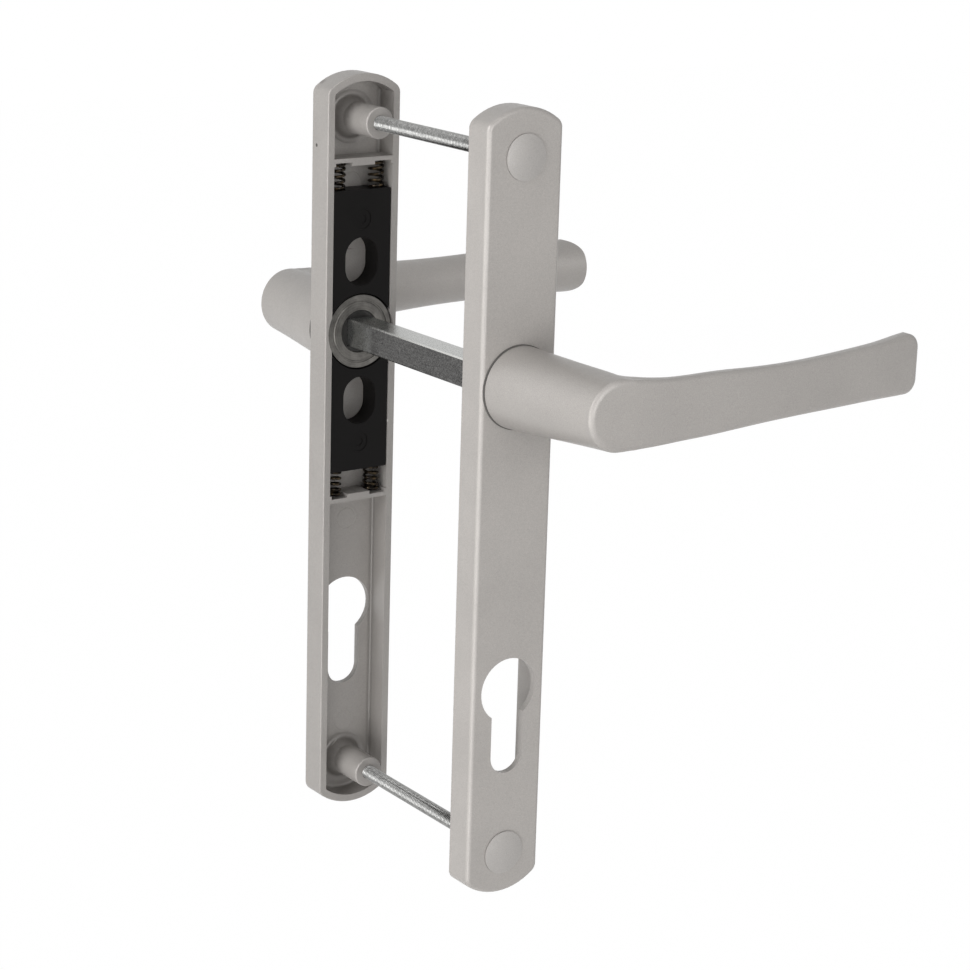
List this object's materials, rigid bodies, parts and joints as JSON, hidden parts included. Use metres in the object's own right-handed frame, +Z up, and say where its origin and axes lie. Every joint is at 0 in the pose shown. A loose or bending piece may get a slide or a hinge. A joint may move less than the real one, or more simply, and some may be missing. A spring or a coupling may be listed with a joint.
{
  "type": "door handle on backplate",
  "caption": "Narrow door handle set: long cast backplates joined through the door by a square spindle and screws, with flat-faced levers and sprung sliders inside.",
  "frame": {"origin": "on the spindle's axis, halfway through the door", "axes": "+X along the levers towards their tips, +Y through the door from the plate with the screw caps to the other plate, +Z up"},
  "size_m": [0.1208, 0.169, 0.219],
  "materials": {
    "plate_paint": "satin silver paint on a zinc casting",
    "lever_paint": "satin silver paint on a zinc casting",
    "cap_paint": "satin silver paint",
    "bush_plastic": "black moulded plastic",
    "cam_zinc": "bare cast zinc, dull",
    "collar_zinc": "bare cast zinc, dull, with worn arcs",
    "spindle_steel": "zinc-plated square bar, speckled",
    "slider_plastic": "black moulded plastic",
    "spring_steel": "oiled dark spring wire",
    "screw_steel": "bright zinc plating"
  },
  "bodies": {
    "plates": {"front_backplate": "plate_paint", "rear_backplate": "plate_paint", "front_neck_bush": "bush_plastic", "rear_neck_bush": "bush_plastic", "top_fixing_screw": "screw_steel", "bottom_fixing_screw": "screw_steel", "top_screw_cap": "cap_paint", "bottom_screw_cap": "cap_paint", "front_upper_left_spring": "spring_steel", "front_upper_right_spring": "spring_steel", "front_lower_left_spring": "spring_steel", "front_lower_right_spring": "spring_steel", "rear_upper_left_spring": "spring_steel", "rear_upper_right_spring": "spring_steel", "rear_lower_left_spring": "spring_steel", "rear_lower_right_spring": "spring_steel"},
    "levers": {"front_lever": "lever_paint", "rear_lever": "lever_paint", "front_hub_cam": "cam_zinc", "rear_hub_cam": "cam_zinc", "front_collar": "collar_zinc", "rear_collar": "collar_zinc", "spindle": "spindle_steel"},
    "front_upper_slider": {"front_upper_slider": "slider_plastic"},
    "front_lower_slider": {"front_lower_slider": "slider_plastic"},
    "rear_upper_slider": {"rear_upper_slider": "slider_plastic"},
    "rear_lower_slider": {"rear_lower_slider": "slider_plastic"}
  },
  "joints": [
    {"name": "lever_turn", "type": "hinge", "parent": "plates", "child": "levers", "pos_m": [0, 0, 0], "axis": [0, 1, 0], "range_deg": [0, 40], "stiffness_Nm_per_rad": 1.5, "springref_deg": -20.05},
    {"name": "front_upper_lift", "type": "slide", "parent": "plates", "child": "front_upper_slider", "axis": [0, 0, 1], "range_m": [0, 0.0028], "deforming": ["front_upper_left_spring", "front_upper_right_spring"]},
    {"name": "front_lower_lift", "type": "slide", "parent": "plates", "child": "front_lower_slider", "axis": [0, 0, -1], "range_m": [0, 0.0028], "deforming": ["front_lower_left_spring", "front_lower_right_spring"]},
    {"name": "rear_upper_lift", "type": "slide", "parent": "plates", "child": "rear_upper_slider", "axis": [0, 0, 1], "range_m": [0, 0.0028], "deforming": ["rear_upper_left_spring", "rear_upper_right_spring"]},
    {"name": "rear_lower_lift", "type": "slide", "parent": "plates", "child": "rear_lower_slider", "axis": [0, 0, -1], "range_m": [0, 0.0028], "deforming": ["rear_lower_left_spring", "rear_lower_right_spring"]}
  ],
  "couplings": [
    {"joint": "front_upper_lift", "follows": "lever_turn", "m_per_rad": 0.004},
    {"joint": "front_lower_lift", "follows": "lever_turn", "m_per_rad": 0.004},
    {"joint": "rear_upper_lift", "follows": "lever_turn", "m_per_rad": 0.004},
    {"joint": "rear_lower_lift", "follows": "lever_turn", "m_per_rad": 0.004}
  ]
}
